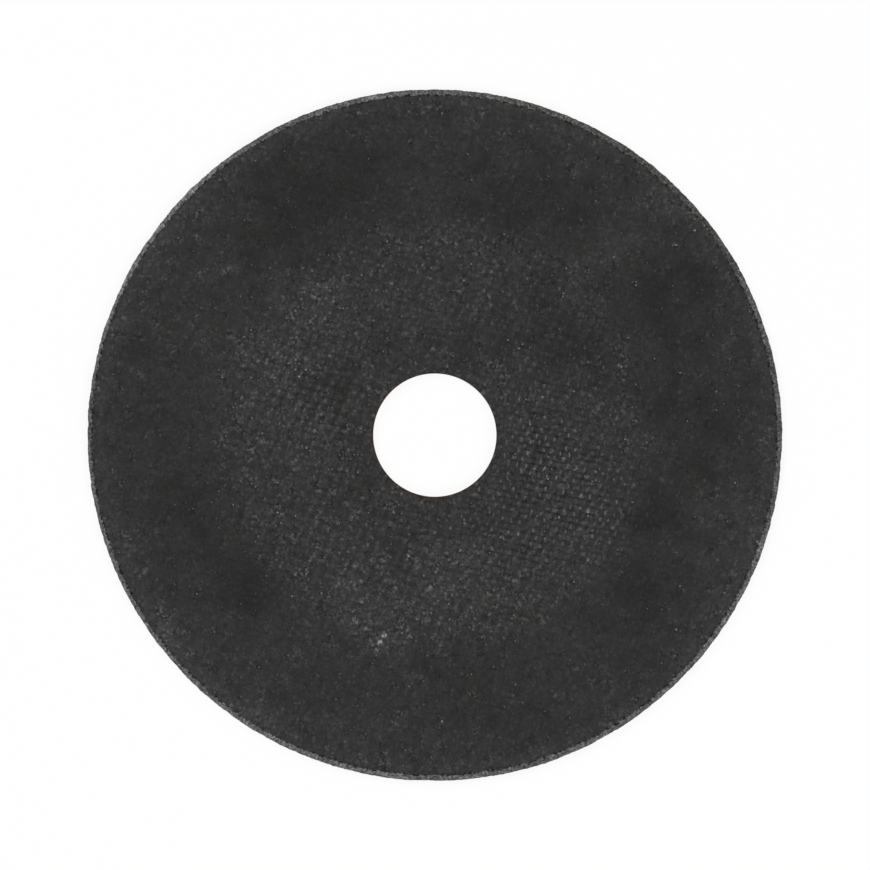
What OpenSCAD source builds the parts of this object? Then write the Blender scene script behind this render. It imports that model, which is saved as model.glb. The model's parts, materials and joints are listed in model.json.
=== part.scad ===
// Flat cutting-off wheel for an angle grinder.
// A hot-pressed, mesh-reinforced abrasive disc with a drawn steel ring pressed into its centre.
// It lies flat: the ring's flange is underneath at z = 0, and the bare woven face is on top.

/* [Disc] */
// Outside diameter of the wheel
disc_d = 125; // [100:1:150]
// Thickness of the wheel between its two clamping faces
disc_t = 1.6; // [1.3:0.1:3.2]

/* [Rim] */
// Width of the dressed corner at the rim, measured along the radius
rim_corner_w = 0.8; // [0.3:0.1:1.5]
// How far the dressed corner falls below the outer band
rim_corner_drop = 0.3; // [0.1:0.05:0.45]
// Width of the outer band beyond the edge of the glass mesh
mesh_edge_w = 3; // [1.5:0.1:6]
// How far the outer band lies below the face, as no mesh thickens it there
mesh_edge_drop = 0.04; // [0.02:0.01:0.08]

/* [Centre ring] */
// Bore of the ring, which fits over the grinder's spigot
bore_d = 22.23; // [16:0.01:25.4]
// Diameter of the ring's flat flange
flange_d = 36.5; // [32:0.5:42]
// Thickness of the ring's sheet steel
sheet_t = 0.3; // [0.2:0.05:0.4]
// Radius on the inside of the bend from flange to sleeve
bend_r = 0.25; // [0.15:0.05:0.4]
// Depth of the resin lip that covers the end of the sleeve
lip_t = 0.25; // [0.15:0.05:0.4]
// Clearance between the ring's round walls and the disc
seat_gap = 0.02; // [0.01:0.01:0.05]

/* [Mesh imprint] */
// Outside diameter of the zone where the glass mesh stands out
imprint_d = 72; // [60:0.2:90]
// Bare width between the ring's flange and the imprint
imprint_margin = 0.9; // [0.5:0.1:3]
// Distance between the mesh's warp bundles
warp_pitch = 1.98; // [1.8:0.01:3]
// Distance between the mesh's weft bundles
weft_pitch = 1.88; // [1.8:0.01:3]
// Length of one bundle's crown where it passes over a crossing
crown_l = 1.5; // [1:0.05:1.6]
// Width of one bundle's crown
crown_w = 1; // [0.6:0.05:1.2]
// Height of the crowns above the resin between them
crown_h = 0.06; // [0.03:0.01:0.1]
// Turn of the mesh about the wheel's axis
mesh_turn = -24.9; // [-90:0.1:90]

/* [Hidden] */
$fn = 180;

disc_r = disc_d / 2;
bore_r = bore_d / 2;
flange_r = flange_d / 2;

// Every cut runs this far past the surface that it opens
overrun = 1;
// The foot of a crown is this share of its height below the floor, so that it cuts the floor cleanly
crown_foot_share = 0.2;

// The ring: a flange, a bend and a sleeve drawn from one sheet
sleeve_r = bore_r + sheet_t;
bend_centre_r = sleeve_r + bend_r;
bend_centre_z = sheet_t + bend_r;
sleeve_top = disc_t - lip_t;

// The imprint: a shallow annular field with the mesh's crowns left standing in it
imprint_out_r = imprint_d / 2;
imprint_in_r = flange_r + imprint_margin;
crown_room = crown_l / 2;
warp_count = ceil(imprint_out_r / warp_pitch);
weft_count = ceil(imprint_out_r / weft_pitch);

function is_even(k) = k % 2 == 0;

// Half section of the pressed disc, with the seat for the ring cut out of it
module disc_section() {
    land_r = disc_r - rim_corner_w;
    mesh_r = disc_r - mesh_edge_w;
    band_z = mesh_edge_drop;
    rim_z = mesh_edge_drop + rim_corner_drop;
    polygon([
        [bore_r, sleeve_top],
        [sleeve_r + seat_gap, sleeve_top],
        [sleeve_r + seat_gap, bend_centre_z],
        [bend_centre_r + seat_gap, sheet_t],
        [flange_r + seat_gap, sheet_t],
        [flange_r + seat_gap, 0],
        [mesh_r, 0],
        [land_r, band_z],
        [disc_r, rim_z],
        [disc_r, disc_t - rim_z],
        [land_r, disc_t - band_z],
        [mesh_r, disc_t],
        [bore_r, disc_t]
    ]);
}

// One crown: a low roof along X, with its ridge level with the wheel's face
module crown() {
    foot = crown_h * crown_foot_share;
    foot_w = crown_w * (crown_h + foot) / crown_h;
    rotate([90, 0, 90])
        translate([0, 0, -crown_l / 2])
            linear_extrude(crown_l)
                polygon([
                    [-foot_w / 2, -crown_h - foot],
                    [foot_w / 2, -crown_h - foot],
                    [0, 0]
                ]);
}

// All the crossings inside the zone: warp and weft take turns to pass over, as in a plain weave.
// The wheel's axis falls in a window of the mesh, between four crossings.
module crowns() {
    for (i = [-warp_count:warp_count - 1], j = [-weft_count:weft_count - 1]) {
        x = i * warp_pitch + warp_pitch / 2;
        y = j * weft_pitch + weft_pitch / 2;
        r = norm([x, y]);
        if (r > imprint_in_r + crown_room && r < imprint_out_r - crown_room)
            translate([x, y, disc_t])
                rotate([0, 0, is_even(i + j) ? 0 : 90])
                    crown();
    }
}

// What the press leaves open round the crowns
module imprint_field() {
    difference() {
        translate([0, 0, disc_t - crown_h])
            cylinder(r = imprint_out_r, h = crown_h + overrun);
        translate([0, 0, disc_t - crown_h - overrun])
            cylinder(r = imprint_in_r, h = crown_h + 2 * overrun);
        rotate([0, 0, mesh_turn])
            crowns();
    }
}

// The abrasive body: grain and resin pressed round the glass mesh in one piece
module abrasive_disc() {
    color([0.22, 0.22, 0.22])
        difference() {
            rotate_extrude()
                disc_section();
            imprint_field();
        }
}

// The quarter bend between the flange and the sleeve
module bend_section() {
    intersection() {
        translate([bend_centre_r, bend_centre_z])
            difference() {
                circle(r = bend_r + sheet_t);
                circle(r = bend_r);
            }
        translate([bore_r, 0])
            square([sheet_t + bend_r, sheet_t + bend_r]);
    }
}

// The steel ring, drawn from one sheet: its sleeve stops under the resin lip
module centre_ring() {
    color([0.72, 0.7, 0.66])
        rotate_extrude()
            union() {
                bend_section();
                translate([bend_centre_r, 0])
                    square([flange_r - bend_centre_r, sheet_t]);
                translate([bore_r, bend_centre_z])
                    square([sheet_t, sleeve_top - bend_centre_z]);
            }
}

abrasive_disc();
centre_ring();
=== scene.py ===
"""A flat cutting-off wheel, seen square on to its bare woven face.

The abrasive body is one detailed closed mesh in place of its CAD solid: the glass mesh's crowns, the
finer weave of the press cloth, a ragged dressed rim and the seat of the centre ring. The steel ring is
the CAD solid itself. Lengths in this script are millimetres until MM turns them into metres.
"""
import json
import math

import bpy
import numpy as np
from mathutils.geometry import delaunay_2d_cdt
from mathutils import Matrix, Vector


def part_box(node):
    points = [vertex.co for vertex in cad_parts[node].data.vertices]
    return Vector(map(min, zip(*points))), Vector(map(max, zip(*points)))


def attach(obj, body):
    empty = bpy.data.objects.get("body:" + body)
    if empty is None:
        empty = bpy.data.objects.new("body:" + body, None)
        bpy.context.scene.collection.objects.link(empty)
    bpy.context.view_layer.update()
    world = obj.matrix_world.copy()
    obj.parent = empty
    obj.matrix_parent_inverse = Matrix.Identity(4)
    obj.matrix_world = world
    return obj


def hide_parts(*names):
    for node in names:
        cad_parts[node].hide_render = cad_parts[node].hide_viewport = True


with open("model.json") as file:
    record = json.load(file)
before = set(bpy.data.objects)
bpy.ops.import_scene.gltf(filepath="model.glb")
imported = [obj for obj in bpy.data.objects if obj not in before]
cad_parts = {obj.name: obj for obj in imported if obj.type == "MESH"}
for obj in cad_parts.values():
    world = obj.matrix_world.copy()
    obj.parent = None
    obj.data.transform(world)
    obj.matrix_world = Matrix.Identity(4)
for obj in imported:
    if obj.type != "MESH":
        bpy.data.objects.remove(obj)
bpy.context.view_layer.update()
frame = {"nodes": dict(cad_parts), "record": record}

MM = 0.001
FULL_TURN = 2.0 * math.pi

# Driving sizes, from the frame
disc_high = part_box("abrasive_disc")[1]
ring_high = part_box("centre_ring")[1]
MOUNTS = {mount["name"]: mount for mount in frame["record"]["mounts"]}
BORE_R = MOUNTS["bore"]["dims"]["r_mm"]
FACE_Z = disc_high.z / MM
DISC_R = disc_high.x / MM
FLANGE_R = ring_high.x / MM
SLEEVE_TOP = ring_high.z / MM

# The ring's seat, as in the CAD source, and the small chamfer where the bore meets the bare face
SHEET_T = 0.3
BEND_R = 0.25
SEAT_GAP = 0.02
SLEEVE_R = BORE_R + SHEET_T
LIP_CHAMFER_W = 0.12
LIP_CHAMFER_H = 0.1
BORE_STEPS = 240

# The rim, as in the CAD source: the mesh stops short of it, and the corner is dressed off
MESH_EDGE_R = DISC_R - 3.0
MESH_EDGE_DROP = 0.04
CORNER_W = 0.8
CORNER_DROP = 0.3
# The rim's rings: their places on each corner, as shares of it, and how many lie on the land between
CORNER_RINGS = (0.25, 0.5, 0.75, 0.92)
LAND_RINGS = 5
RIM_STEPS = 1480
# How rough the rim is: along the radius, along the axis, in its pits, and round it as a share of a step
RIM_RAGGED = 0.025
RIM_RAGGED_Z = 0.04
RIM_PITS = 0.06
RIM_SLIP = 0.3
# The wheel in the photograph is a little out of round, and its rim stands a little proud
RIM_OVAL = 0.14
RIM_SWELL = 0.04

# The photograph's frame and where the wheel sits in it, in pixels
PHOTO_SIDE = 870
WHEEL_CENTRE_PX = (434.83, 435.13)
WHEEL_R_PX = 346.7
PX_PER_MM = WHEEL_R_PX / DISC_R

# The press cloth's weave: its knuckles lie where both of these waves crest.
# Each wave is (waves per mm along X, waves per mm along Y, part of a wave at the axis).
CLOTH_WAVE_1 = (0.5151, -0.5398, -0.42)
CLOTH_WAVE_2 = (0.6814, 0.3219, -0.48)
# Its rows of knuckles lean over by this part of a row
ROW_LEAN = 0.12
CLOTH_H = 0.016
# The glass mesh, as in the CAD source: the axis falls in a window, half a pitch from the bundles
MESH_TURN = math.radians(-24.9)
WARP_PITCH = 1.98
WEFT_PITCH = 1.88
WARP_WAVE = (math.cos(MESH_TURN) / WARP_PITCH, math.sin(MESH_TURN) / WARP_PITCH, -0.5)
WEFT_WAVE = (-math.sin(MESH_TURN) / WEFT_PITCH, math.cos(MESH_TURN) / WEFT_PITCH, -0.5)
CROWN_L = 1.5
CROWN_W = 1.0
CROWN_H = 0.06
# A crown loses this share of its height by its ends and its sides
CROWN_FALL = 0.8
# The imprint: its edge, the width over which it fades, and the shares of its depth that it loses beyond
# that, keeps in the strip beside the bore, and loses where the mesh ends
IMPRINT_R = 36.0
IMPRINT_FADE_W = 4.5
IMPRINT_LOSS = 0.75
IMPRINT_AT_BORE = 0.45
IMPRINT_EDGE_LOSS = 0.8
# The cloth's relief outside the imprint, as a share of its relief inside
CLOTH_OUTSIDE = 0.4
# Random depth of single points of the faces
FACE_ROUGH = 0.004

RANDOM_SEED = 20
rng = np.random.default_rng(RANDOM_SEED)


def smooth(low, high, value):
    """0 below low, 1 above high, and a smooth step between."""
    t = np.clip((value - low) / (high - low), 0.0, 1.0)
    return t * t * (3.0 - 2.0 * t)


def wave(form, x, y):
    """How many waves of this form lie between the axis and a point. Takes arrays and shader values."""
    return form[0] * x + form[1] * y + form[2]


def soft_spots(spots, x, y):
    """Sum of round soft spots, each (x, y, radius, strength)."""
    total = np.zeros_like(x)
    for spot_x, spot_y, radius, strength in spots:
        distance_2 = (x - spot_x) ** 2 + (y - spot_y) ** 2
        total += strength * np.exp(-distance_2 / radius ** 2)
    return total


# Level of the face at a radius in mm, as a share of the plain level
LEVEL_STOPS = (
    (11.0, 1.12), (12.2, 1.19), (17.2, 1.19), (18.2, 1.04), (19.3, 1.21), (27.0, 1.19), (36.5, 1.15),
    (38.4, 1.11), (40.3, 1.03), (48.0, 1.02), (57.5, 1.06), (59.2, 1.12), (59.8, 1.245), (61.6, 1.245),
)
# Patches where the bare face is darker or lighter, in mm from the axis: (x, y, radius, share of the level)
SHADE_SPOTS = (
    (-31, 9, 6, 0.17), (-21, 24, 6, 0.14), (-27, 17, 6, 0.06), (-22, -1, 4, 0.12), (-36, 16, 4, 0.06),
    (23, -11, 8, 0.08), (3, -25, 7, 0.13), (-17, -27, 6, 0.14), (-10, -35.5, 2.6, 0.28),
    (14, -30, 6, 0.08), (32, -5, 5, 0.04), (-1, 27, 8, 0.02), (8, 31, 4, 0.05), (25, 30, 2.5, 0.12),
    (15, 2, 4, 0.07), (-6, -33, 5, 0.10), (-15, -34, 3, 0.10), (25, -22, 5, 0.06),
    (20.5, 24, 5, -0.16), (26, 16, 5, -0.22), (18, 17, 4, -0.18), (12, 19, 4, -0.12), (32, 10, 4, -0.10),
    (5.2, 17.6, 3, -0.18), (-17.5, 8, 2.8, -0.24), (-13.8, -7, 2.8, -0.18), (-15, 0, 2.5, -0.12),
    (-10, 16, 3, -0.14), (-9, -19, 2.5, -0.12), (0, 17, 2, -0.08), (-3, -17, 2.5, -0.10),
    (-17.5, 44, 8, -0.18), (-27, 39, 7, -0.16), (-12, 50, 5, -0.10), (-29, 48, 4, -0.10),
    (-34, 33, 4, -0.08), (14.6, 41.4, 7, -0.16), (26, 40, 5, -0.16), (36, 48, 3, -0.14),
    (5, 45, 5, -0.08), (20, 50, 4, -0.06),
    (39.2, 25.2, 5.5, -0.22), (48.6, 27.1, 4.5, -0.18), (50.6, 2.5, 5, -0.21), (41, 6, 4.5, -0.18),
    (40.1, -12.7, 4.2, -0.25), (37.3, -29.6, 6, -0.21), (45, 15, 5, -0.16), (42, 35, 4, -0.10),
    (46, -5, 4, -0.12), (57, 8, 3, -0.10), (38, -40, 4, -0.10), (42, -20, 4, -0.10),
    (-46, -10.7, 5.5, -0.18), (-34.7, -27.8, 5.5, -0.23), (-41, -19, 5, -0.14), (-51, 3, 3.5, -0.12),
    (-53, 14, 3, -0.08), (9, -46.7, 6, -0.10), (0, -43, 4, -0.08), (18, -52, 5, -0.08),
    (-22, -46, 4, -0.05),
    (-53, 35, 6, 0.16), (-38.5, 29, 4, 0.08), (-44, 43, 5, 0.12), (-43, 20, 4, 0.05), (-58, 22, 4, 0.10),
    (-50, -37, 6, 0.20), (-36, -51, 5, 0.18), (-57, -20, 4, 0.10), (-6, -50.5, 3, 0.10),
    (-43, -46, 4, 0.10), (31.7, 34.7, 4, 0.16), (41, 42, 4, 0.14), (50.6, 15.8, 3, 0.06),
    (54.4, -18.3, 4, 0.12), (49, -13, 3, 0.10), (43, -36, 4, 0.04), (7, 57, 5, 0.06), (-25, 56, 4, 0.06),
    (24, 53, 4, 0.04), (-15, -55, 5, 0.06), (-28, -38, 5, 0.06), (51, -28, 4, 0.06),
)
SHADE_DEPTH = 1.35
# The patches aren't quite round: their places wander by this much
PATCH_WANDER = 1.3
# How strongly the press cloth has printed, how much more inside the imprint, and where most of all
CLOTH_BASE = 0.03
CLOTH_INNER = 0.06
CLOTH_SPOTS = (
    (21, -6, 9, 0.46), (20, 3, 7, 0.24), (29, -14, 8, 0.22), (14, -19, 8, 0.38), (-24, 7, 7, 0.18),
    (-23, 2, 6, 0.08), (0, 24, 6, 0.08), (-6, -24, 7, 0.05),
)
# The same for the glass mesh, and how much more of it shows inside the imprint on the hidden side
MESH_BASE = 0.08
MESH_INNER = 0.24
MESH_SPOTS = (
    (-22, 7, 9, 0.65), (-7, -22, 9, 0.25), (21, -8, 9, 0.35), (28, -14, 7, 0.20), (0, 24, 8, 0.12),
    (-20, -20, 8, 0.40), (16, -24, 8, 0.30), (19, 21, 8, 0.10), (0, -50, 12, 0.10),
)
MESH_HIDDEN = 0.15
# The same for bare grains that crowd together and carry painted glints; below 0 they are fewer
CROWD_BASE = 0.09
CROWD_INNER = 0.15
GRAIN_SPOTS = (
    (-10, -37, 1.6, 1.2), (8.2, -36.1, 2.2, 0.7), (5.8, -43.8, 1.8, 0.5), (1.1, -42, 1.6, 0.4),
    (-6.2, -52, 2.2, 0.5), (9.7, -25, 1.5, 0.5), (-24.5, 12, 1.4, 0.8), (-34, 12.4, 1.5, 0.6),
    (-31.4, 9.8, 1.8, 0.6), (-35, 7, 1.8, 0.5), (-33.2, 1.6, 2, 0.4), (-15.5, -4.6, 1.8, 0.5),
    (-19.5, -6.4, 1.4, 0.5), (-25.6, -10, 1.5, 0.5), (-54, 14, 2.2, 0.5), (-3, 60, 1.5, 0.5),
    (24, -6, 7, 0.25), (30, -14, 6, 0.25), (12, -30, 5, 0.2), (-28, -22, 6, 0.2), (18, 20, 10, -0.20),
    (0, 25, 8, -0.10),
)
# Where the grain stands out more or less than elsewhere, and how much more it does beside the rim
STRENGTH_SPOTS = (
    (-24, 4, 12, -0.04), (-12, -25, 9, -0.02), (0, 25, 9, -0.14), (20, 20, 10, -0.04), (0, -48, 12, 0.20),
)
RIM_STRENGTH = 0.25
# Faint olive tints
STAIN_SPOTS = (
    (-16.5, 46, 2.2, 0.4), (-24.7, 48.6, 2.2, 0.4), (-32.4, 36.9, 2.4, 0.4), (-48, 19.4, 1.8, 0.3),
    (-39.7, 19.4, 1.8, 0.3), (-48, -9.4, 1.8, 0.3), (-36.6, -17.8, 1.8, 0.3), (9.5, -29.8, 1.8, 0.3),
    (17.3, -32.5, 2.4, 0.4), (6.4, -45.1, 2.4, 0.4), (46.6, -7.3, 2.6, 0.45), (27.2, 34.2, 1.8, 0.3),
    (35.6, 31, 1.8, 0.3), (-16.4, 6.3, 2.2, 0.5), (-12.8, -9.3, 1.6, 0.45),
)
# The dressed rim all round: (direction in degrees, share of its level, width of its light band in mm).
# The level is painted light and shade, lighter or darker by direction
RIM_STOPS = (
    (-180, 0.97, 0.80), (-150, 1.02, 0.93), (-110, 1.08, 1.10), (-80, 0.94, 1.10), (-30, 0.98, 1.05),
    (0, 0.84, 1.05), (25, 0.76, 1.17), (40, 0.65, 1.20), (65, 0.72, 1.17), (82, 0.98, 1.10),
    (120, 1.16, 1.02), (142, 1.52, 0.95), (165, 0.98, 0.80), (180, 0.97, 0.80),
)
# Stored fields hold 0 to 1, so levels, the cloth's drift and the rim's distances are scaled to fit
LEVEL_SCALE = 0.5
DRIFT_SCALE = 0.2
SKIN_SCALE = 0.1


def cloth_relief(x, y):
    """The fine weave of the press cloth, from -1 in its gaps to 1 on its knuckles."""
    one = wave(CLOTH_WAVE_1, x, y)
    two = wave(CLOTH_WAVE_2, x, y)
    rows = 0.26 * np.cos(FULL_TURN * (two - one + ROW_LEAN)) + 0.22 * np.cos(FULL_TURN * (two + one))
    return rows + 0.30 * np.cos(FULL_TURN * one) + 0.22 * np.cos(FULL_TURN * two)


def crown_relief(x, y):
    """The glass mesh's crowns, from 0 in its windows to 1 on a crown: warp and weft take turns on top."""
    warp = wave(WARP_WAVE, x, y)
    weft = wave(WEFT_WAVE, x, y)
    across = (warp - np.round(warp)) * WARP_PITCH
    along = (weft - np.round(weft)) * WEFT_PITCH
    even = (np.round(warp) + np.round(weft)) % 2 == 0
    length = np.where(even, across, along) / (CROWN_L / 2)
    width = np.where(even, along, across) / (CROWN_W / 2)
    ends = np.clip(1.0 - CROWN_FALL * length ** 2, 0.0, 1.0)
    sides = np.clip(1.0 - CROWN_FALL * width ** 2, 0.0, 1.0)
    return ends * sides


def imprint_share(r):
    """How strongly the mesh stands out at a radius: full in the clamped zone, faint beyond it."""
    zone = smooth(FLANGE_R + 0.3, FLANGE_R + 1.8, r)
    zone = zone * (1.0 - IMPRINT_LOSS * smooth(IMPRINT_R, IMPRINT_R + IMPRINT_FADE_W, r))
    near_bore = IMPRINT_AT_BORE * (1.0 - smooth(FLANGE_R - 1.4, FLANGE_R - 0.4, r))
    return (zone + near_bore) * (1.0 - IMPRINT_EDGE_LOSS * smooth(MESH_EDGE_R - 0.4, MESH_EDGE_R + 0.2, r))


def band_drop(r):
    """How far the outer band lies below the face."""
    return MESH_EDGE_DROP * smooth(MESH_EDGE_R - 0.2, DISC_R - CORNER_W, r)


def face_depth(flat):
    """Depth of a face's surface below its highest plane, at each point."""
    x, y = flat[:, 0], flat[:, 1]
    r = np.hypot(x, y)
    share = imprint_share(r)
    crowns = CROWN_H * share * (1.0 - crown_relief(x, y))
    cloth_share = CLOTH_OUTSIDE + (1.0 - CLOTH_OUTSIDE) * share
    cloth = CLOTH_H * cloth_share * (1.0 - cloth_relief(x, y)) / 2.0
    return crowns + cloth + band_drop(r) + np.abs(rng.normal(0.0, FACE_ROUGH, len(flat)))


def ring_points(radius, steps):
    """A circle of points."""
    turn = np.arange(steps) * (FULL_TURN / steps)
    return np.stack([radius * np.cos(turn), radius * np.sin(turn)], axis=1)


def lattice_points(wave_1, wave_2, step, low_r, high_r):
    """Points where both waves are whole multiples of step, between two radii."""
    inverse = np.linalg.inv(np.array([wave_1[:2], wave_2[:2]]))
    reach = int(2.0 * high_r / step)
    first, second = np.mgrid[-reach:reach + 1, -reach:reach + 1]
    counts = np.stack([first.ravel() * step - wave_1[2], second.ravel() * step - wave_2[2]], axis=1)
    points = counts @ inverse.T
    r = np.hypot(points[:, 0], points[:, 1])
    return points[(r > low_r) & (r < high_r)]


class Shell:
    """Collects the vertices and triangles of one closed mesh."""

    def __init__(self):
        self.points = []
        self.faces = []
        self.count = 0

    def add(self, points):
        """Adds points and returns their numbers."""
        first = self.count
        self.points.append(np.asarray(points, dtype=float))
        self.count += len(points)
        return np.arange(first, self.count)

    def strip(self, ring_a, ring_b):
        """Joins two rings of as many points, so that the faces look left of the way from a to b."""
        next_a = np.roll(ring_a, -1)
        next_b = np.roll(ring_b, -1)
        self.faces.append(np.stack([ring_a, next_a, next_b], axis=1))
        self.faces.append(np.stack([ring_a, next_b, ring_b], axis=1))

    def sheet(self, numbers, flat, up):
        """Triangulates a flat sheet whose first BORE_STEPS points are the ring round its hole."""
        result = delaunay_2d_cdt([tuple(point) for point in flat], [], [], 0, 1e-7)
        triangles = np.array(result[2])
        triangles = triangles[(triangles >= BORE_STEPS).any(axis=1)]
        corner = flat[triangles]
        side_1 = corner[:, 1] - corner[:, 0]
        side_2 = corner[:, 2] - corner[:, 0]
        area = side_1[:, 0] * side_2[:, 1] - side_1[:, 1] * side_2[:, 0]
        flipped = (area > 0) != up
        triangles[flipped] = triangles[flipped][:, ::-1]
        self.faces.append(numbers[triangles])

    def mesh(self, name):
        """Makes the mesh, in metres."""
        data = bpy.data.meshes.new(name)
        points = np.concatenate(self.points) * MM
        faces = np.concatenate(self.faces)
        data.from_pydata(points.tolist(), [], faces.tolist())
        data.validate()
        data.update()
        return data


def lift(flat, z):
    """Flat points with a height each."""
    return np.column_stack([flat, np.broadcast_to(z, len(flat))])


def ragged(size, soften):
    """A closed run of random bumps about zero round the rim, softened over a few steps."""
    bumps = rng.normal(0.0, 1.0, RIM_STEPS)
    for _ in range(soften):
        bumps = (np.roll(bumps, 1) + 2.0 * bumps + np.roll(bumps, -1)) / 4.0
    return size * bumps / bumps.std()


def rim_rings(shell, face_ring, back_ring):
    """The dressed corners and the land between them, from the face's last ring to the back's."""
    corner = np.array(CORNER_RINGS)
    corner_r = DISC_R - CORNER_W * (1.0 - corner)
    corner_z = MESH_EDGE_DROP + CORNER_DROP * corner ** 2
    land_low, land_high = MESH_EDGE_DROP + CORNER_DROP, FACE_Z - MESH_EDGE_DROP - CORNER_DROP
    land_z = np.linspace(land_low, land_high, LAND_RINGS)
    radii = np.concatenate([corner_r, np.full(LAND_RINGS, DISC_R), corner_r[::-1]])
    depths = np.concatenate([corner_z, land_z, FACE_Z - corner_z[::-1]])
    share = np.concatenate([corner, np.ones(LAND_RINGS), corner[::-1]])
    turn = np.arange(RIM_STEPS) * (FULL_TURN / RIM_STEPS)
    outline = ragged(RIM_RAGGED, 3) + ragged(RIM_RAGGED, 60)
    outline += RIM_OVAL * np.cos(2.0 * turn) + RIM_SWELL
    last = face_ring
    for radius, depth, amount in zip(radii, depths, share):
        pits = np.abs(ragged(RIM_PITS, 1))
        r = radius + amount * (outline - pits)
        slip = turn + rng.uniform(-RIM_SLIP, RIM_SLIP, RIM_STEPS) * (FULL_TURN / RIM_STEPS)
        z = np.clip(FACE_Z - depth + amount * ragged(RIM_RAGGED_Z, 1), 0.0, FACE_Z)
        ring = shell.add(np.stack([r * np.cos(slip), r * np.sin(slip), z], axis=1))
        shell.strip(ring, last)
        last = ring
    shell.strip(back_ring, last)


def bore_rings(shell, face_ring, back_ring):
    """The bore's lip, the sleeve's seat and the flange's seat, from the face's first ring to the back's."""
    profile = (
        (BORE_R, FACE_Z - LIP_CHAMFER_H),
        (BORE_R, SLEEVE_TOP),
        (SLEEVE_R + SEAT_GAP, SLEEVE_TOP),
        (SLEEVE_R + SEAT_GAP, SHEET_T + BEND_R),
        (SLEEVE_R + BEND_R + SEAT_GAP, SHEET_T),
        (FLANGE_R + SEAT_GAP, SHEET_T),
    )
    last = face_ring
    for radius, z in profile:
        ring = shell.add(lift(ring_points(radius, BORE_STEPS), z))
        shell.strip(last, ring)
        last = ring
    shell.strip(last, back_ring)


def disc_mesh():
    """The whole abrasive body as one closed mesh."""
    shell = Shell()
    land_r = DISC_R - CORNER_W
    lip_r = BORE_R + LIP_CHAMFER_W
    ring_out = ring_points(land_r, RIM_STEPS)

    # The bare face: its points follow the cloth's weave, two to a yarn, clear of the rings at its edges
    wave_sum = tuple(one + two for one, two in zip(CLOTH_WAVE_1, CLOTH_WAVE_2))
    wave_difference = tuple(two - one for one, two in zip(CLOTH_WAVE_1, CLOTH_WAVE_2))
    inside = lattice_points(wave_sum, wave_difference, 1.0 / 2.0, lip_r + 0.25, land_r - 0.22)
    flat = np.concatenate([ring_points(lip_r, BORE_STEPS), ring_out, inside])
    face = shell.add(lift(flat, FACE_Z - face_depth(flat)))
    shell.sheet(face, flat, True)

    # The back: its points follow the glass mesh, three to a bundle, and its hole is the flange's seat
    inside = lattice_points(WARP_WAVE, WEFT_WAVE, 1.0 / 3.0, FLANGE_R + 0.3, land_r - 0.25)
    flat = np.concatenate([ring_points(FLANGE_R + SEAT_GAP, BORE_STEPS), ring_out, inside])
    depth = face_depth(flat)
    depth[:BORE_STEPS] = 0.0
    back = shell.add(lift(flat, depth))
    shell.sheet(back, flat, False)

    outer = slice(BORE_STEPS, BORE_STEPS + RIM_STEPS)
    rim_rings(shell, face[outer], back[outer])
    bore_rings(shell, face[:BORE_STEPS], back[:BORE_STEPS])
    return shell.mesh("abrasive_body")


def store_field(data, name, *channels):
    """Stores up to three changes over the surface, each a number for every vertex."""
    field = np.zeros((len(data.vertices), 4), dtype=np.float32)
    field[:, 3] = 1.0
    for index, channel in enumerate(channels):
        field[:, index] = np.clip(channel, 0.0, 1.0)
    layer = data.color_attributes.new(name, "FLOAT_COLOR", "POINT")
    layer.data.foreach_set("color", field.ravel())


def soft_noise(x, y, size):
    """A smooth random field about zero, with a spread of 1 and patches of about this size."""
    total = np.zeros_like(x)
    count = 24
    for _ in range(count):
        turn = rng.uniform(0.0, FULL_TURN)
        waves = rng.uniform(0.35, 1.0) / size
        along = x * math.cos(turn) + y * math.sin(turn)
        total += np.cos(FULL_TURN * (waves * along + rng.uniform()))
    return total / math.sqrt(count / 2.0)


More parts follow.
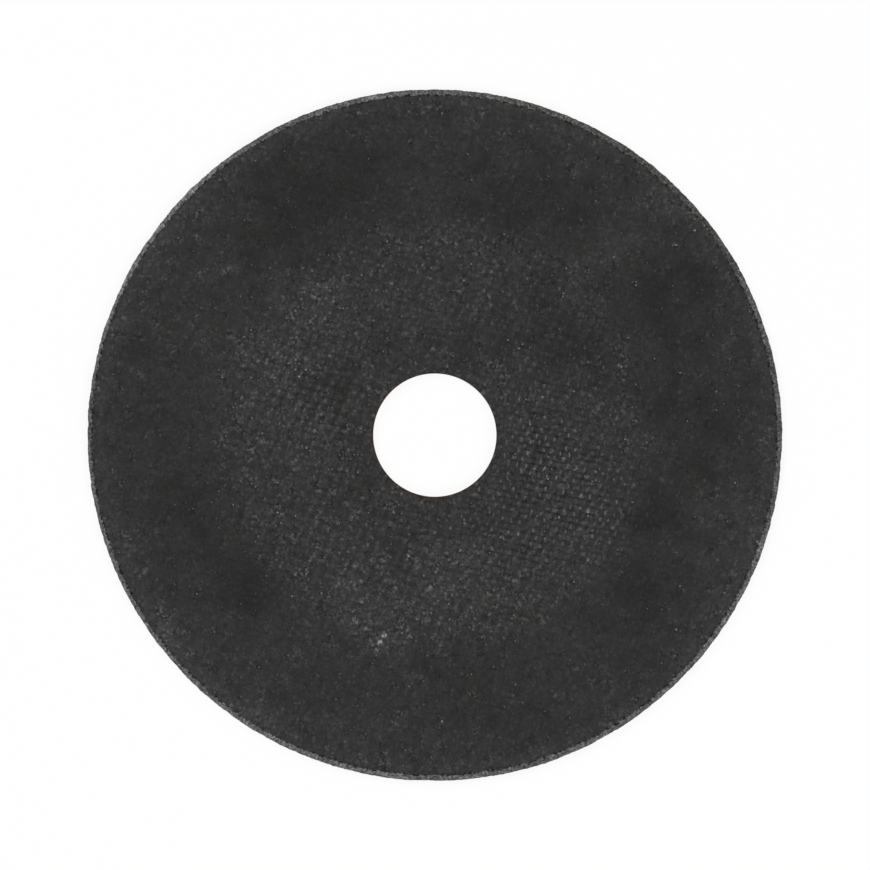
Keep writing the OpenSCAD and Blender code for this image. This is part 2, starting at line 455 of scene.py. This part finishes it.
def paint_fields(data):
    """Stores the slow changes over the wheel for its material. The hidden side has no patches of its own."""
    co = np.empty(len(data.vertices) * 3, dtype=np.float32)
    data.vertices.foreach_get("co", co)
    co = co.reshape(-1, 3).astype(float) / MM
    x, y = co[:, 0], co[:, 1]
    r = np.hypot(x, y)
    bare = co[:, 2] > FACE_Z / 2
    # 1 inside the imprint, whose edge wavers
    inner = 1.0 - smooth(IMPRINT_R + 0.6, IMPRINT_R + 5.0, r + 0.9 * soft_noise(x, y, 6.0))

    near_x, near_y = x + PATCH_WANDER * soft_noise(x, y, 7.0), y + PATCH_WANDER * soft_noise(x, y, 7.0)
    patches = SHADE_DEPTH * soft_spots(SHADE_SPOTS, near_x, near_y)
    shade = 1.0 + np.where(bare, patches, 0.1 * soft_noise(x, y, 12.0))
    shade *= 1.0 + 0.04 * soft_noise(x, y, 5.0) + 0.03 * soft_noise(x, y, 2.2)

    cloth = CLOTH_BASE + CLOTH_INNER * inner + np.where(bare, soft_spots(CLOTH_SPOTS, x, y), 0.0)
    mesh = MESH_BASE + MESH_INNER * inner
    mesh = mesh + np.where(bare, soft_spots(MESH_SPOTS, x, y), MESH_HIDDEN * inner)
    crowd = CROWD_BASE + CROWD_INNER * inner + np.where(bare, soft_spots(GRAIN_SPOTS, x, y), 0.0)

    # The grain stands out less in dark patches
    strength = 1.0 + np.where(bare, soft_spots(STRENGTH_SPOTS, x, y), 0.0)
    strength = strength + RIM_STRENGTH * smooth(56.0, 59.5, r)
    strength *= np.clip(shade, 0.5, 1.4) ** 1.5

    waver = 0.35 * soft_noise(x, y, 6.0) * (1.0 - smooth(55.0, 58.0, r))
    level = np.interp(r + waver, *zip(*LEVEL_STOPS))
    stain = np.where(bare, soft_spots(STAIN_SPOTS, x, y), 0.0) * (0.7 + 0.3 * soft_noise(x, y, 1.6))
    drift_x, drift_y = soft_noise(x, y, 9.0), soft_noise(x, y, 9.0)

    # Painted light and shade: the rim's level changes with its direction round the wheel
    directions, rim_painted_levels, rim_widths = zip(*RIM_STOPS)
    turn = np.arctan2(y, x)
    rim_painted_light = np.interp(np.degrees(turn), directions, rim_painted_levels) * (1.0 + 0.07 * soft_noise(x, y, 5.0))
    rim_width = np.interp(np.degrees(turn), directions, rim_widths)
    # How far each point lies outside the line where the resin skin ends
    past_skin = r - (DISC_R + RIM_OVAL * np.cos(2.0 * turn) - rim_width)

    store_field(data, "weave", LEVEL_SCALE * shade * level, cloth, mesh)
    store_field(data, "marks", stain, crowd, inner)
    store_field(data, "drift", 0.5 + DRIFT_SCALE * drift_x, 0.5 + DRIFT_SCALE * drift_y,
                LEVEL_SCALE * strength)
    store_field(data, "rim", LEVEL_SCALE * rim_painted_light, 0.5 + SKIN_SCALE * past_skin)


class Value:
    """A number that changes over the surface: a node's output, which takes plain arithmetic."""

    def __init__(self, graph, socket):
        self.graph = graph
        self.socket = socket

    def __add__(self, other):
        return self.graph.math("ADD", self, other)

    def __sub__(self, other):
        return self.graph.math("SUBTRACT", self, other)

    def __rsub__(self, other):
        return self.graph.math("SUBTRACT", other, self)

    def __mul__(self, other):
        return self.graph.math("MULTIPLY", self, other)

    def __truediv__(self, other):
        return self.graph.math("DIVIDE", self, other)

    def __pow__(self, other):
        return self.graph.math("POWER", self, other)

    def __rpow__(self, other):
        return self.graph.math("POWER", other, self)

    __radd__ = __add__
    __rmul__ = __mul__


# How far along X each further noise is taken, in mm, so that no two of them are alike
NOISE_PLACES = {
    "pores": 20.0, "coarse": 60.0, "jitter_x": 80.0, "jitter_y": 120.0, "gaps": 160.0, "vigour": 200.0,
    "scuff": 240.0,
}


class Graph:
    """A short way to write the nodes of a material or of the world."""

    def __init__(self, owner, output_kind="ShaderNodeOutputMaterial"):
        owner.use_nodes = True
        self.owner = owner
        self.tree = owner.node_tree
        self.tree.nodes.clear()
        self.output = self.node(output_kind)

    def node(self, kind, **settings):
        made = self.tree.nodes.new(kind)
        for key, value in settings.items():
            setattr(made, key, value)
        return made

    def feed(self, socket, value):
        """Links an output to a socket, or sets the socket to a plain value."""
        if isinstance(value, Value):
            value = value.socket
        if isinstance(value, bpy.types.NodeSocket):
            self.tree.links.new(value, socket)
        elif socket.type == "RGBA":
            socket.default_value = (*value, 1.0)
        else:
            socket.default_value = value

    def math(self, operation, *numbers):
        """One step of arithmetic."""
        made = self.node("ShaderNodeMath", operation=operation)
        for socket, number in zip(made.inputs, numbers):
            self.feed(socket, number)
        return Value(self, made.outputs[0])

    def radius(self, x, y):
        return self.math("SQRT", x * x + y * y)

    def cosine(self, waves):
        return self.math("COSINE", waves * FULL_TURN)

    def step(self, value, low, high, to_low=0.0, to_high=1.0):
        """A smooth step of value from low to high."""
        made = self.node("ShaderNodeMapRange", interpolation_type="SMOOTHSTEP")
        for name, number in (("Value", value), ("From Min", low), ("From Max", high),
                             ("To Min", to_low), ("To Max", to_high)):
            self.feed(made.inputs[name], number)
        return Value(self, made.outputs["Result"])

    def toward(self, x, y, r, turn, low, high):
        """How far a point lies towards a direction from the axis: a smooth step of the cosine."""
        turn = math.radians(turn)
        return self.step((x * math.cos(turn) + y * math.sin(turn)) / r, low, high)

    def noise(self, vector, size, detail=2.0, roughness=0.5, solid=False):
        """Noise whose largest features are about size across, with a mean near 0.5."""
        made = self.node("ShaderNodeTexNoise", noise_dimensions="3D" if solid else "2D")
        self.feed(made.inputs["Vector"], vector)
        self.feed(made.inputs["Scale"], 1.0 / size)
        self.feed(made.inputs["Detail"], detail)
        self.feed(made.inputs["Roughness"], roughness)
        return Value(self, made.outputs["Fac"])

    def swing(self, noise, reach):
        """Noise with a mean near 0.5 as a change about zero."""
        return (noise - 0.5) * reach

    def moved(self, point, name):
        """The point moved along X to the place of the noise with this name."""
        made = self.node("ShaderNodeVectorMath", operation="ADD")
        self.feed(made.inputs[0], point)
        made.inputs[1].default_value = (NOISE_PLACES[name], 0.0, 0.0)
        return made.outputs["Vector"]

    def luck(self, a, b):
        """A random number from 0 to 1 for each pair of whole numbers."""
        pair = self.node("ShaderNodeCombineXYZ")
        self.feed(pair.inputs[0], a)
        self.feed(pair.inputs[1], b)
        made = self.node("ShaderNodeTexWhiteNoise", noise_dimensions="3D")
        self.feed(made.inputs["Vector"], pair.outputs[0])
        return Value(self, made.outputs["Value"])

    def parts(self, colour):
        """The three channels of a colour, each as a number."""
        made = self.node("ShaderNodeSeparateColor")
        self.feed(made.inputs[0], colour)
        return [Value(self, made.outputs[index]) for index in range(3)]

    def stored_field(self, name):
        """The three channels of a field stored on the mesh."""
        return self.parts(self.node("ShaderNodeAttribute", attribute_name=name).outputs["Color"])

    def mix(self, share, a, b):
        """Mixes two colours."""
        made = self.node("ShaderNodeMix", data_type="RGBA")
        self.feed(made.inputs["Factor"], share)
        self.feed(made.inputs["A"], a)
        self.feed(made.inputs["B"], b)
        return made.outputs["Result"]

    def scale_colour(self, colour, factor):
        """A colour times a number that changes over the surface."""
        made = self.node("ShaderNodeVectorMath", operation="SCALE")
        self.feed(made.inputs[0], colour)
        self.feed(made.inputs["Scale"], factor)
        return made.outputs["Vector"]

    def millimetres(self):
        """The point on the object in mm, and its x, y and radius."""
        place = self.node("ShaderNodeTexCoord").outputs["Object"]
        point = self.scale_colour(place, 1.0 / MM)
        split = self.node("ShaderNodeSeparateXYZ")
        self.feed(split.inputs[0], point)
        x, y = Value(self, split.outputs[0]), Value(self, split.outputs[1])
        return point, x, y, self.radius(x, y)

    def surface(self, colour, roughness, height, bump_strength, constants):
        """Ends the material with one shader, whose fine relief is in mm, and returns the material."""
        bump = self.node("ShaderNodeBump")
        bump.inputs["Strength"].default_value = bump_strength
        bump.inputs["Distance"].default_value = MM
        self.feed(bump.inputs["Height"], height)
        shader = self.node("ShaderNodeBsdfPrincipled")
        self.feed(shader.inputs["Base Color"], colour)
        self.feed(shader.inputs["Roughness"], roughness)
        for name, value in constants.items():
            shader.inputs[name].default_value = value
        self.feed(shader.inputs["Normal"], bump.outputs["Normal"])
        self.feed(self.output.inputs["Surface"], shader.outputs["BSDF"])
        return self.owner


CHARCOAL = (0.0295, 0.0295, 0.0295)
OLIVE = (0.0300, 0.0292, 0.0215)
RUST = (0.092, 0.058, 0.052)
BORE_BROWN = (0.038, 0.027, 0.022)
GRAIN_GREY = (0.1025, 0.1025, 0.1025)
GRAIN_WARM = (0.1035, 0.1030, 0.0967)
TIN = (0.56, 0.54, 0.50)
TIN_DULL = (0.33, 0.31, 0.28)
TIN_BROWN = (0.16, 0.10, 0.065)
# The directions, in degrees, that the warm part of the rim and the brown part of the bore's edge face
RIM_WARM_TURN = 57.0
BORE_TINT_TURN = 215.0
# A rust-pink spot: (x, y, radius)
RUST_SPOT = (7.5, -10.9, 0.9)
# A cluster of bare grain low on the face, painted very bright as glints: (x, y, radius, strength)
GLINT_CLUSTER_SPOTS = ((-9.2, -36.0, 0.75, 10.0), (-9.9, -37.3, 0.75, 8.0), (-10.6, -38.9, 0.6, 2.5))

# The cloth's print wanders: slowly over the wheel, and from knuckle to knuckle
CLOTH_DRIFT = 0.30
CLOTH_JITTER = 0.36
CLOTH_JITTER_SIZE = 0.9
# A painted knuckle highlight's half sizes, and how many mm one whole step of the cloth's waves is
# along a row of knuckles, where both waves grow, and across the rows, where only their difference does
KNUCKLE_HALF_W = 0.14
KNUCKLE_HALF_L = 0.42
ALONG_ROW_MM = 0.824
ACROSS_ROWS_MM = 1.143
# How deep each layer is printed, and the painted shade of the gaps, in powers of two of the level
WEAVE_DEPTH = 0.80
MESH_DEPTH = 0.50
GAP_SHADE_DEPTH = 1.40
# The painted shade in the gaps between the cloth's rows shows this much where the cloth itself doesn't
GAP_SHADE_BASE = 0.05
# The grain: the size of its noises, how far they swing, and the size of its single cells
FINE_SIZE, FINE_REACH = 0.36, 2.4
COARSE_SIZE, COARSE_REACH, COARSE_INNER_LOSS = 1.7, 1.3, 0.8
VIGOUR_SIZE, VIGOUR_REACH = 2.4, 4.4
GRAIN_CELL = 0.66
# The grain's share outside the imprint, how much is added inside it, and its brightest
GRAIN_SHARE = 0.59
GRAIN_INNER = 0.29
GRAIN_CURVE = 0.20
GRAIN_LIMIT = 1.35
# How brightly the painted glints on the cloth's knuckles and the bare grains shine, and how dark the
# painted shadow round those grains is
PAINTED_GLINT_LEVEL = 3.1
BARE_GRAIN_GLINT_LEVEL = 4.4
GRAIN_SHADOW_DEPTH = 0.4
# The dressed rim's grain: sizes and swings, and how dark the broken line at its inner edge is
RIM_GRAIN_SIZE, RIM_GRAIN_REACH = 0.42, 7.4
RIM_SLOW_SIZE, RIM_SLOW_REACH = 3.0, 0.7
SKIN_EDGE_LINE_DEPTH = 0.75


def cloth_layers(g, point, x, y):
    """The cloth's pattern, painted highlights on its knuckles, knuckle sites, blobs on those, painted shade
    in its gaps, and the glass mesh.
    """
    one, two = wave(CLOTH_WAVE_1, x, y), wave(CLOTH_WAVE_2, x, y)
    row = two - one + ROW_LEAN
    pattern = g.cosine(row) * 0.14 + g.cosine(one + two) * 0.20
    pattern = pattern + (g.cosine(one) * 0.34 + g.cosine(two) * 0.12)

    cell_1, cell_2 = g.math("ROUND", one), g.math("ROUND", two)
    off_1, off_2 = one - cell_1, two - cell_2
    across = (off_1 + off_2) * (ALONG_ROW_MM / KNUCKLE_HALF_W)
    along = (off_2 - off_1 + 0.5 * ROW_LEAN) * (ACROSS_ROWS_MM / KNUCKLE_HALF_L)
    spread = across * across + along * along
    # Where the painted highlights on the knuckles go
    knuckle = g.step(spread, 1.5, 0.1) * g.luck(cell_1, cell_2) ** 1.6
    site = g.step(g.radius(off_1, off_2), 0.62, 0.1)
    blob = site * g.swing(g.luck(cell_2, cell_1), 2.0)

    broken = g.step(g.noise(g.moved(point, "gaps"), 0.9, 1.0, 0.6), 0.42, 0.60)
    # Painted shade in the gaps between the rows of knuckles, broken here and there
    gap_shade = g.step(g.cosine(row), -0.25, -0.95) * broken
    mesh = g.cosine(wave(WARP_WAVE, x, y)) * 0.58 + g.cosine(wave(WEFT_WAVE, x, y)) * 0.45
    return pattern, knuckle, site, blob, gap_shade, mesh


def grain_cells(g, point, fine, crowd):
    """The grains: how light each one is about zero, the few that have lost their resin, which are lighter
    and painted with glints, and painted shadow round those.

    Fine noise roughens their outlines, and more of them are bare where crowd is high.
    """
    cells = g.node("ShaderNodeTexVoronoi", voronoi_dimensions="2D", feature="F1")
    g.feed(cells.inputs["Vector"], point)
    cells.inputs["Scale"].default_value = 1.0 / GRAIN_CELL
    choice, brightness, lightness = g.parts(cells.outputs["Color"])
    away = Value(g, cells.outputs["Distance"]) - fine * 0.25
    # Lighter and darker grains, with dark edges and darker corners between them
    facet = (lightness ** 1.6 - 0.28) * g.step(away, 0.68, 0.22)
    facet = facet - g.step(away, 0.42, 0.72) * 0.42
    facet = facet - g.step(away, 0.58, 0.76) * 0.30
    chosen = g.step(choice + crowd * 0.16, 0.975, 1.04)
    # Bare grains: lighter where their resin is lost, and painted with bright glints
    bare = chosen * g.step(away, 0.34, 0.05) * (0.35 + brightness ** 3.0)
    # Painted shadow: a dark ring round each bare grain
    grain_shadow = chosen * (g.step(away, 0.18, 0.42) * g.step(away, 0.75, 0.55))
    return facet, bare, grain_shadow


def face_layers(g, point, x, y):
    """The face's level, the painted glint on the cloth's knuckles and the fine noise of its grain."""
    shade, cloth_share, mesh_share = g.stored_field("weave")
    _, crowd, inner = g.stored_field("marks")
    drift_x, drift_y, strength = g.stored_field("drift")
    jitter_x = g.swing(g.noise(g.moved(point, "jitter_x"), CLOTH_JITTER_SIZE, 0.0), CLOTH_JITTER)
    jitter_y = g.swing(g.noise(g.moved(point, "jitter_y"), CLOTH_JITTER_SIZE, 0.0), CLOTH_JITTER)
    cloth_x = x + g.swing(drift_x, CLOTH_DRIFT) + jitter_x
    cloth_y = y + g.swing(drift_y, CLOTH_DRIFT) + jitter_y

    # The weave, in powers of two of the level
    pattern, knuckle, site, blob, gap_shade, mesh = cloth_layers(g, point, cloth_x, cloth_y)
    weave = pattern * cloth_share * WEAVE_DEPTH + mesh * mesh_share * MESH_DEPTH
    # Painted shade in the gaps between the cloth's rows
    weave = weave - gap_shade * (cloth_share + GAP_SHADE_BASE) * GAP_SHADE_DEPTH

    # The grain is patchy, strongest on the bundles of the mesh, and calm where the cloth has printed
    # strongly. Where it is strong, more grains are bare.
    calm = 1.0 - g.math("MINIMUM", cloth_share, 0.45)
    vigour = g.swing(g.noise(g.moved(point, "vigour"), VIGOUR_SIZE, 1.0), VIGOUR_REACH) * calm
    vigour = 2.0 ** (vigour + mesh * inner * 0.22)
    crowd = crowd + (mesh * mesh_share * 0.3 + (vigour - 1.0) * 0.3)
    fine = g.swing(g.noise(point, FINE_SIZE, 2.0, 0.80), FINE_REACH)
    coarse_reach = COARSE_REACH - inner * COARSE_INNER_LOSS
    coarse = g.swing(g.noise(g.moved(point, "coarse"), COARSE_SIZE, 2.0, 0.7), coarse_reach)
    facet, bare_grain_glint, grain_shadow = grain_cells(g, point, fine, crowd)
    facet = facet * (site * inner * 0.6 + 0.7)

    # The grain's layers together, also in powers of two: lifted a little at its brightest, then held
    grain = (fine + coarse) + (facet + blob * 0.35)
    grain = grain * (strength * (1.0 / LEVEL_SCALE)) * (inner * GRAIN_INNER + GRAIN_SHARE)
    grain = grain * (vigour * (calm * 0.6 + 0.4))
    grain = g.math("MINIMUM", grain + grain * grain * GRAIN_CURVE, GRAIN_LIMIT)
    level = shade * (1.0 / LEVEL_SCALE) * 2.0 ** (grain + weave)

    # Painted highlight: the knuckles' glint, added to the colour's level below; it also lowers the roughness
    painted_glint = knuckle * (cloth_share * 1.7 + 0.06)
    # Painted shadow round the bare grains darkens the level; painted glints on the knuckles and bare grains
    # lighten it
    level = level * (1.0 - grain_shadow * GRAIN_SHADOW_DEPTH)
    level = level + (painted_glint * PAINTED_GLINT_LEVEL + bare_grain_glint * BARE_GRAIN_GLINT_LEVEL)
    # Painted glints on a patchy cluster of very bright grain
    glint_cluster_mask = g.step(g.noise(g.moved(point, "scuff"), 0.5, 2.0), 0.38, 0.62)
    for spot_x, spot_y, radius, brightness in GLINT_CLUSTER_SPOTS:
        near = g.step(g.radius(x - spot_x, y - spot_y), radius, 0.2)
        level = level + near * glint_cluster_mask * brightness
    return level, painted_glint, fine


def face_colour(g, point, x, y, r, level):
    """Charcoal with faint olive tints, a brown edge at the bore and one spot of rust."""
    stain, _, _ = g.stored_field("marks")
    face = g.mix(stain * g.step(g.noise(point, 1.0, 2.0), 0.25, 0.6), CHARCOAL, OLIVE)
    at_bore = g.step(r, BORE_R + 0.9, BORE_R + 0.1)
    face = g.mix(at_bore * g.toward(x, y, r, BORE_TINT_TURN, -0.4, 0.1), face, BORE_BROWN)
    spot_x, spot_y, spot_radius = RUST_SPOT
    rust = g.step(g.radius(x - spot_x, y - spot_y), spot_radius, 0.2)
    rust = rust * g.step(g.noise(point, 0.8, 2.0), 0.35, 0.6)
    return g.scale_colour(g.mix(rust * 0.55, face, RUST), level)


def rim_layers(g, point, x, y, r):
    """The dressed rim: its share of the surface, its grain, its colour with painted light and shade by
    direction, and the dark line at its inner edge.
    """
    # The rim's stored level is painted light and shade by direction
    level, past_skin, _ = g.stored_field("rim")
    past_skin = (past_skin - 0.5) * (1.0 / SKIN_SCALE) + g.swing(g.noise(point, 0.7, 3.0, 0.6), 0.9)
    rim = g.step(past_skin, 0.0, 0.2)
    grain = g.swing(g.noise(point, RIM_GRAIN_SIZE, 2.0, 0.8, solid=True), RIM_GRAIN_REACH)
    grain = grain + g.swing(g.noise(point, RIM_SLOW_SIZE, 1.0), RIM_SLOW_REACH)
    bare = g.mix(g.toward(x, y, r, RIM_WARM_TURN, 0.82, 0.93), GRAIN_GREY, GRAIN_WARM)
    bare = g.scale_colour(bare, level * (1.0 / LEVEL_SCALE) * 2.0 ** grain)
    # A broken dark line where the resin skin ends
    pores = g.step(past_skin, -0.25, 0.0) * g.step(past_skin, 0.45, 0.15)
    pores = pores * g.step(g.noise(g.moved(point, "pores"), 0.7, 2.0), 0.48, 0.62)
    return rim, grain, bare, pores


def abrasive_material():
    """Pressed resin and grain: woven and matte on the faces, bare grain at the dressed rim."""
    g = Graph(bpy.data.materials.new("abrasive"))
    point, x, y, r = g.millimetres()
    level, painted_glint, fine = face_layers(g, point, x, y)
    face = face_colour(g, point, x, y, r, level)
    rim, rim_grain, bare, pores = rim_layers(g, point, x, y, r)
    colour = g.scale_colour(g.mix(rim, face, bare), 1.0 - pores * SKIN_EDGE_LINE_DEPTH)
    height = fine * 0.006 + rim * rim_grain * 0.02
    return g.surface(colour, 0.78 - painted_glint * 0.25, height, 0.8, {"Specular IOR Level": 0.06})


def ring_material():
    """Dull tinned sheet steel with fine marks of the drawing die round the axis."""
    g = Graph(bpy.data.materials.new("ring_steel"))
    point, _, _, r = g.millimetres()
    rings = g.node("ShaderNodeTexNoise", noise_dimensions="1D")
    g.feed(rings.inputs["W"], r + g.noise(point, 5.0, 1.0) * 0.4)
    rings.inputs["Scale"].default_value = 6.0
    rings.inputs["Detail"].default_value = 3.0
    ring_marks = Value(g, rings.outputs["Fac"])
    colour = g.mix(g.step(ring_marks, 0.35, 0.65) * 0.35, TIN, TIN_DULL)
    colour = g.mix(g.step(g.noise(point, 5.0, 4.0, 0.6), 0.42, 0.75) * 0.45, colour, TIN_DULL)
    colour = g.mix(g.step(g.noise(point, 0.8, 3.0, 0.7), 0.60, 0.75) * 0.3, colour, TIN_BROWN)
    colour = g.mix(g.step(r, FLANGE_R - 0.5, FLANGE_R) * 0.5, colour, TIN_BROWN)
    roughness = g.step(g.noise(point, 2.0, 3.0), 0.3, 0.7, 0.32, 0.5)
    height = ring_marks * 0.006 + g.noise(point, 0.4, 2.0) * 0.004
    return g.surface(colour, roughness, height, 0.6, {"Metallic": 0.9})


def seen_rays(g):
    """1 for rays of the camera and for what metal or glass shows, 0 for light that falls on things."""
    path = g.node("ShaderNodeLightPath")
    seen = g.math("MAXIMUM", path.outputs["Is Camera Ray"], path.outputs["Is Glossy Ray"])
    return g.math("MAXIMUM", seen, path.outputs["Is Transmission Ray"])


# The floor is a glowing white, mixed with this share of a matte white that takes the wheel's shadow
FLOOR_MATTE_SHARE = 0.15
FLOOR_WHITE = (0.96, 0.96, 0.96)
FLOOR_HALF_SIDE_M = 4.0
FLOOR_GAP = 0.02


def floor_material():
    """A plain white sweep, which still takes the wheel's shadow."""
    g = Graph(bpy.data.materials.new("floor_white"))
    matte = g.node("ShaderNodeBsdfDiffuse")
    g.feed(matte.inputs["Color"], FLOOR_WHITE)
    glow = g.node("ShaderNodeEmission")
    glow.inputs["Strength"].default_value = 1.0
    mixed = g.node("ShaderNodeMixShader")
    g.feed(mixed.inputs[0], seen_rays(g) * (1.0 - FLOOR_MATTE_SHARE))
    g.feed(mixed.inputs[1], matte.outputs[0])
    g.feed(mixed.inputs[2], glow.outputs[0])
    g.feed(g.output.inputs["Surface"], mixed.outputs[0])
    return g.owner


def add_floor():
    """The surface that the wheel lies on."""
    side = FLOOR_HALF_SIDE_M
    data = bpy.data.meshes.new("floor")
    corners = [(-side, -side, 0.0), (side, -side, 0.0), (side, side, 0.0), (-side, side, 0.0)]
    data.from_pydata(corners, [], [(0, 1, 2, 3)])
    data.materials.append(floor_material())
    floor = bpy.data.objects.new("floor", data)
    bpy.context.scene.collection.objects.link(floor)
    floor.location.z = -FLOOR_GAP * MM


WORLD_LEVEL = 0.45
# Soft lamps: (turn about the axis in degrees, height above the floor in degrees, share of the light)
LAMPS = ((135.0, 48.0, 1.0), (-40.0, 42.0, 0.9), (-110.0, 50.0, 0.5), (40.0, 40.0, 0.25))
LAMP_DISTANCE_M = 0.9
LAMP_SIDE_M = 0.55
LAMP_POWER = 3.1


def add_world():
    """An even room, which lights things at a plain level."""
    g = Graph(bpy.data.worlds.new("room"), "ShaderNodeOutputWorld")
    bpy.context.scene.world = g.owner
    background = g.node("ShaderNodeBackground")
    g.feed(background.inputs["Strength"], g.step(seen_rays(g), 0.0, 1.0, WORLD_LEVEL, 1.0))
    g.feed(g.output.inputs["Surface"], background.outputs[0])


def add_lamps():
    """Four soft lamps round the wheel, each turned to the axis."""
    for number, (turn, height, share) in enumerate(LAMPS):
        name = "softbox_%d" % number
        lamp = bpy.data.lights.new(name, "AREA")
        lamp.shape = "SQUARE"
        lamp.size = LAMP_SIDE_M
        lamp.energy = LAMP_POWER * share
        turn, height = math.radians(turn), math.radians(height)
        holder = bpy.data.objects.new(name, lamp)
        holder.location = (
            LAMP_DISTANCE_M * math.cos(height) * math.cos(turn),
            LAMP_DISTANCE_M * math.cos(height) * math.sin(turn),
            LAMP_DISTANCE_M * math.sin(height))
        holder.rotation_euler = (0.0, math.pi / 2 - height, turn)
        bpy.context.scene.collection.objects.link(holder)


def add_camera():
    """Square on to the face, framed as the photograph is."""
    lens_mm, sensor_mm = 110.0, 36.0
    data = bpy.data.cameras.new("camera")
    data.lens = lens_mm
    data.sensor_width = sensor_mm
    data.clip_start = 0.01
    camera = bpy.data.objects.new("camera", data)
    frame_width = PHOTO_SIDE / PX_PER_MM * MM
    half = PHOTO_SIDE / 2
    camera.location = (
        (half - WHEEL_CENTRE_PX[0]) / PX_PER_MM * MM,
        (WHEEL_CENTRE_PX[1] - half) / PX_PER_MM * MM,
        FACE_Z * MM + frame_width * lens_mm / sensor_mm)
    bpy.context.scene.collection.objects.link(camera)
    bpy.context.scene.camera = camera


def add_disc():
    """The abrasive body, in place of its CAD solid."""
    data = disc_mesh()
    paint_fields(data)
    data.shade_smooth()
    data.set_sharp_from_angle(angle=math.radians(50.0))
    data.materials.append(abrasive_material())
    disc = bpy.data.objects.new("abrasive_body", data)
    bpy.context.scene.collection.objects.link(disc)
    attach(disc, "root")
    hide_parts("abrasive_disc")


def dress_ring():
    """The centre ring keeps its CAD solid and gets its metal."""
    metal = ring_material()
    for slot in frame["nodes"]["centre_ring"].material_slots:
        slot.material = metal


add_disc()
dress_ring()
add_floor()
add_world()
add_lamps()
add_camera()
bpy.context.scene.view_settings.view_transform = "Standard"
